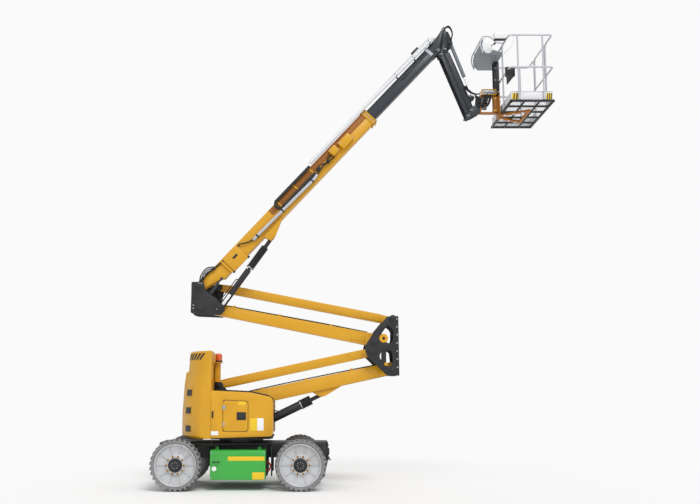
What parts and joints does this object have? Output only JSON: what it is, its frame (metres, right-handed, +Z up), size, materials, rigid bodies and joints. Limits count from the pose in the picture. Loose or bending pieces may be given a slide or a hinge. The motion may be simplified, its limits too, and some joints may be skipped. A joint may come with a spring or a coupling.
{
  "type": "articulating boom lift",
  "caption": "Self-propelled articulating boom lift: articulated tower, telescopic boom, jib and rotating platform on a slewing turret and a four-wheel chassis.",
  "frame": {"origin": "on the ground, under the centre of the bounding box as stored", "axes": "+X forward, the way the platform reaches; +Y to the machine's left; +Z up"},
  "size_m": [6.731, 1.7, 8.0845],
  "materials": {
    "yellow_paint": "satin",
    "yellow_counterweight": "satin paint",
    "green_paint": "satin",
    "dark_grey_paint": "satin",
    "slate_paint": "satin",
    "black_paint": "satin",
    "bare_steel": "machined",
    "rim_paint": "satin",
    "tyre_rubber": "matt",
    "white_tube": "painted",
    "black_plastic": "matt",
    "amber_lens": "gloss",
    "console_plastic": "matt"
  },
  "bodies": {
    "chassis": {"chassis_frame": "black_paint", "front_guard": "dark_grey_paint", "battery_box_right": "green_paint", "battery_box_left": "green_paint", "rear_axle": "dark_grey_paint", "front_axle": "dark_grey_paint", "slew_ring": "bare_steel"},
    "knuckle_right": {"knuckle_right": "dark_grey_paint"},
    "knuckle_left": {"knuckle_left": "dark_grey_paint"},
    "tie_rod": {"tie_rod": "dark_grey_paint"},
    "turret": {"turret_frame": "dark_grey_paint", "counterweight": "yellow_counterweight", "tail_weight_left": "yellow_counterweight", "tail_weight_right": "yellow_counterweight", "hood_right": "yellow_paint", "hood_left": "yellow_paint", "beacon_mast": "yellow_paint", "beacon": "amber_lens", "power_unit": "dark_grey_paint"},
    "hood_door_right": {"hood_door_right": "yellow_paint"},
    "hood_door_left": {"hood_door_left": "yellow_paint"},
    "lower_arm": {"lower_arm": "yellow_paint"},
    "lower_link": {"lower_link": "yellow_paint"},
    "elbow": {"elbow_bracket": "dark_grey_paint"},
    "upper_arm": {"upper_arm": "yellow_paint"},
    "upper_link": {"upper_link": "yellow_paint"},
    "riser": {"riser_bracket": "dark_grey_paint"},
    "tower_cylinder_barrel": {"tower_cylinder_barrel": "dark_grey_paint"},
    "tower_cylinder_rod": {"tower_cylinder_rod": "black_plastic"},
    "main_boom": {"boom_outer": "yellow_paint", "cable_carrier": "black_plastic"},
    "fly_boom": {"fly_boom": "slate_paint", "fly_supply_tube": "white_tube"},
    "boom_cylinder_barrel": {"boom_cylinder_barrel": "dark_grey_paint"},
    "boom_cylinder_rod": {"boom_cylinder_rod": "black_plastic"},
    "tip_yoke": {"tip_yoke": "slate_paint"},
    "jib_arm": {"jib_arm": "slate_paint"},
    "jib_link_right": {"jib_link_right": "black_paint"},
    "jib_link_left": {"jib_link_left": "black_paint"},
    "jib_cylinder_barrel": {"jib_cylinder_barrel": "slate_paint"},
    "jib_cylinder_rod": {"jib_cylinder_rod": "bare_steel"},
    "jib_head": {"jib_head": "slate_paint", "rotator_arms": "yellow_paint"},
    "platform": {"platform_mount": "yellow_paint", "platform_floor": "black_paint", "guard_rails": "white_tube", "toe_boards": "white_tube", "mount_posts": "black_paint", "control_console": "console_plastic"},
    "platform_gate": {"platform_gate": "white_tube"},
    "wheel_front_right": {"tyre_front_right": "tyre_rubber", "rim_front_right": "rim_paint"},
    "wheel_front_left": {"tyre_front_left": "tyre_rubber", "rim_front_left": "rim_paint"},
    "wheel_rear_right": {"tyre_rear_right": "tyre_rubber", "rim_rear_right": "rim_paint"},
    "wheel_rear_left": {"tyre_rear_left": "tyre_rubber", "rim_rear_left": "rim_paint"}
  },
  "joints": [
    {"name": "wheel_front_right_spin", "type": "hinge", "parent": "knuckle_right", "child": "wheel_front_right", "pos_m": [-0.95551, -0.705, 0.41], "axis": [0, 1, 0], "continuous": true},
    {"name": "wheel_rear_right_spin", "type": "hinge", "parent": "chassis", "child": "wheel_rear_right", "pos_m": [-2.95551, -0.705, 0.41], "axis": [0, 1, 0], "continuous": true},
    {"name": "wheel_front_left_spin", "type": "hinge", "parent": "knuckle_left", "child": "wheel_front_left", "pos_m": [-0.95551, 0.705, 0.41], "axis": [0, 1, 0], "continuous": true},
    {"name": "wheel_rear_left_spin", "type": "hinge", "parent": "chassis", "child": "wheel_rear_left", "pos_m": [-2.95551, 0.705, 0.41], "axis": [0, 1, 0], "continuous": true},
    {"name": "steer", "type": "hinge", "parent": "chassis", "child": "knuckle_left", "pos_m": [-0.95551, 0.5, 0.41], "axis": [0, 0, 1], "range_deg": [-30, 30]},
    {"name": "steer_right", "type": "hinge", "parent": "chassis", "child": "knuckle_right", "pos_m": [-0.95551, -0.5, 0.41], "axis": [0, 0, 1], "range_deg": [-30.5, 30.5]},
    {"name": "tie_rod_pivot", "type": "hinge", "parent": "knuckle_left", "child": "tie_rod", "pos_m": [-1.10551, 0.5, 0.41], "axis": [0, 0, 1], "range_deg": [-30.5, 30.5]},
    {"name": "slew", "type": "hinge", "parent": "chassis", "child": "turret", "pos_m": [-1.95551, 0, -0.044], "axis": [0, 0, 1], "range_deg": [-177, 177]},
    {"name": "hood_door_right_hinge", "type": "hinge", "parent": "turret", "child": "hood_door_right", "pos_m": [-2.20551, -0.796, 0.941], "axis": [0, 0, -1], "range_deg": [0, 110]},
    {"name": "hood_door_left_hinge", "type": "hinge", "parent": "turret", "child": "hood_door_left", "pos_m": [-2.20551, 0.796, 0.941], "axis": [0, 0, 1], "range_deg": [0, 110]},
    {"name": "tower_raise", "type": "hinge", "parent": "turret", "child": "lower_arm", "pos_m": [-1.99451, 0, 1.376], "axis": [0, -1, 0], "range_deg": [-11.5, 50]},
    {"name": "lower_link_pivot", "type": "hinge", "parent": "turret", "child": "lower_link", "pos_m": [-2.35451, 0, 1.696], "axis": [0, -1, 0], "range_deg": [-12.1, 50.6]},
    {"name": "elbow_level", "type": "hinge", "parent": "lower_arm", "child": "elbow", "pos_m": [0.61714, 0, 1.93112], "axis": [0, -1, 0], "range_deg": [-50.6, 12.1]},
    {"name": "upper_arm_pivot", "type": "hinge", "parent": "elbow", "child": "upper_arm", "pos_m": [0.31114, 0, 2.40412], "axis": [0, -1, 0], "range_deg": [-50.6, 12.1]},
    {"name": "upper_link_pivot", "type": "hinge", "parent": "elbow", "child": "upper_link", "pos_m": [0.62014, 0, 2.81512], "axis": [0, -1, 0], "range_deg": [-50.6, 12.1]},
    {"name": "riser_level", "type": "hinge", "parent": "upper_arm", "child": "riser", "pos_m": [-2.6573, 0, 2.98113], "axis": [0, -1, 0], "range_deg": [-12.1, 50.6]},
    {"name": "tower_cylinder_barrel_pivot", "type": "hinge", "parent": "turret", "child": "tower_cylinder_barrel", "pos_m": [-1.88551, 0, 0.906], "axis": [0, -1, 0], "range_deg": [-10.26, 42.6]},
    {"name": "tower_cylinder_rod_slide", "type": "slide", "parent": "tower_cylinder_barrel", "child": "tower_cylinder_rod", "axis": [0.9012, 0, 0.4334], "range_m": [-0.0883, 0.3672]},
    {"name": "boom_raise", "type": "hinge", "parent": "riser", "child": "main_boom", "pos_m": [-2.6823, -0.06, 3.35513], "axis": [0, -1, 0], "range_deg": [-38.9, 25]},
    {"name": "boom_cylinder_barrel_pivot", "type": "hinge", "parent": "riser", "child": "boom_cylinder_barrel", "pos_m": [-2.3223, -0.155, 3.00113], "axis": [0, -1, 0], "range_deg": [-38.72, 25.1]},
    {"name": "boom_cylinder_rod_slide", "type": "slide", "parent": "boom_cylinder_barrel", "child": "boom_cylinder_rod", "axis": [0.5825, 0, 0.8128], "range_m": [-0.3384, 0.2192]},
    {"name": "boom_extend", "type": "slide", "parent": "main_boom", "child": "fly_boom", "axis": [0.6833, 0, 0.7302], "range_m": [-1.5, 0]},
    {"name": "tip_level", "type": "hinge", "parent": "fly_boom", "child": "tip_yoke", "pos_m": [1.51064, -0.06, 7.63237], "axis": [0, -1, 0], "range_deg": [-25.6, 39.5]},
    {"name": "jib_raise", "type": "hinge", "parent": "tip_yoke", "child": "jib_arm", "pos_m": [1.64164, -0.06, 7.66137], "axis": [0, -1, 0], "range_deg": [-3, 88]},
    {"name": "jib_link_right_pivot", "type": "hinge", "parent": "tip_yoke", "child": "jib_link_right", "pos_m": [1.57164, -0.06, 7.54637], "axis": [0, -1, 0], "range_deg": [-3.6, 88.6]},
    {"name": "jib_link_left_pivot", "type": "hinge", "parent": "tip_yoke", "child": "jib_link_left", "pos_m": [1.57164, -0.06, 7.54637], "axis": [0, -1, 0], "range_deg": [-3.6, 88.6]},
    {"name": "platform_level", "type": "hinge", "parent": "jib_arm", "child": "jib_head", "pos_m": [2.08606, -0.06, 6.52734], "axis": [0, -1, 0], "range_deg": [-88.6, 3.6]},
    {"name": "jib_cylinder_barrel_pivot", "type": "hinge", "parent": "tip_yoke", "child": "jib_cylinder_barrel", "pos_m": [1.75064, -0.06, 7.79137], "axis": [0, -1, 0], "range_deg": [-3.66, 90.36]},
    {"name": "jib_cylinder_rod_slide", "type": "slide", "parent": "jib_cylinder_barrel", "child": "jib_cylinder_rod", "axis": [0.3451, 0, -0.9386], "range_m": [-0.2308, 0.0127]},
    {"name": "platform_rotate", "type": "hinge", "parent": "jib_head", "child": "platform", "pos_m": [2.52006, -0.06, 6.52734], "axis": [0, 0, 1], "range_deg": [-80, 80]},
    {"name": "platform_gate_hinge", "type": "hinge", "parent": "platform", "child": "platform_gate", "pos_m": [3.35006, -0.35, 7.06634], "axis": [0, 0, 1], "range_deg": [0, 90]}
  ],
  "couplings": [
    {"joint": "steer_right", "follows": "steer", "ratio": 1},
    {"joint": "tie_rod_pivot", "follows": "steer", "ratio": -1},
    {"joint": "lower_link_pivot", "follows": "tower_raise", "ratio": 1},
    {"joint": "elbow_level", "follows": "tower_raise", "ratio": -1},
    {"joint": "upper_arm_pivot", "follows": "tower_raise", "ratio": -1},
    {"joint": "upper_link_pivot", "follows": "tower_raise", "ratio": -1},
    {"joint": "riser_level", "follows": "tower_raise", "ratio": 1},
    {"joint": "tower_cylinder_barrel_pivot", "follows": "tower_raise", "ratio": 0.84},
    {"joint": "tower_cylinder_rod_slide", "follows": "tower_raise", "m_per_rad": 0.415},
    {"joint": "boom_cylinder_barrel_pivot", "follows": "boom_raise", "ratio": 0.98},
    {"joint": "boom_cylinder_rod_slide", "follows": "boom_raise", "m_per_rad": 0.491},
    {"joint": "tip_level", "follows": "boom_raise", "ratio": -1},
    {"joint": "jib_link_right_pivot", "follows": "jib_raise", "ratio": 1},
    {"joint": "jib_link_left_pivot", "follows": "jib_raise", "ratio": 1},
    {"joint": "platform_level", "follows": "jib_raise", "ratio": -1},
    {"joint": "jib_cylinder_barrel_pivot", "follows": "jib_raise", "ratio": 1.02},
    {"joint": "jib_cylinder_rod_slide", "follows": "jib_raise", "m_per_rad": -0.147}
  ]
}
